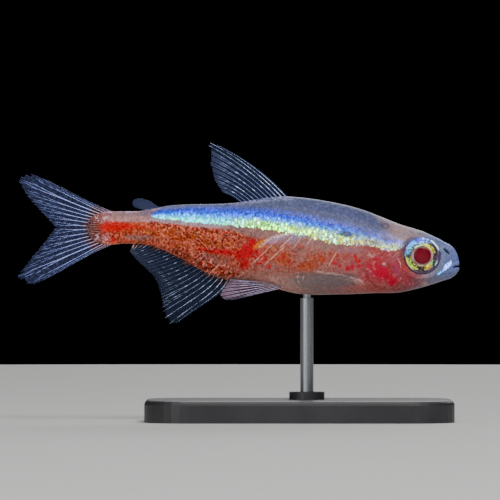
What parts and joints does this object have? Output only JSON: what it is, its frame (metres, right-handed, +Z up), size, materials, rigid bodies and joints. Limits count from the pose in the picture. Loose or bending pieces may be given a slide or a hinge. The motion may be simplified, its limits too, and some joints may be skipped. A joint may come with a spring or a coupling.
{
  "type": "albino cardinal tetra",
  "caption": "Life-size still model of an albino cardinal tetra, a slim red and blue aquarium fish with red eyes, held over a flat display base by a short rod.",
  "frame": {"origin": "middle of the whole part on the surface that the stand rests on", "axes": "+X from the tail to the snout, +Z up; y = 0 is the fish's plane of symmetry and +Y its left side"},
  "size_m": [0.04, 0.015, 0.0253],
  "materials": {
    "skin": "wet sheen, painted with a blue-green band over red",
    "eye": "clear gloss over a deep red pupil",
    "fin": "thin, slightly glossy",
    "clear_fin": "thin and nearly clear",
    "stand_base": "satin black",
    "stand_rod": "satin"
  },
  "bodies": {
    "root": {"head": "skin", "lower_jaw": "skin", "gill_cover_right": "skin", "gill_cover_left": "skin", "trunk": "skin", "tail_stem": "skin", "eye_right": "eye", "eye_left": "eye", "dorsal_fin": "fin", "adipose_fin": "fin", "caudal_fin_upper": "fin", "caudal_fin_lower": "fin", "anal_fin": "fin", "pelvic_fin_right": "fin", "pelvic_fin_left": "fin", "pectoral_fin_right": "clear_fin", "pectoral_fin_left": "clear_fin", "stand_base": "stand_base", "stand_rod": "stand_rod"}
  },
  "joints": []
}
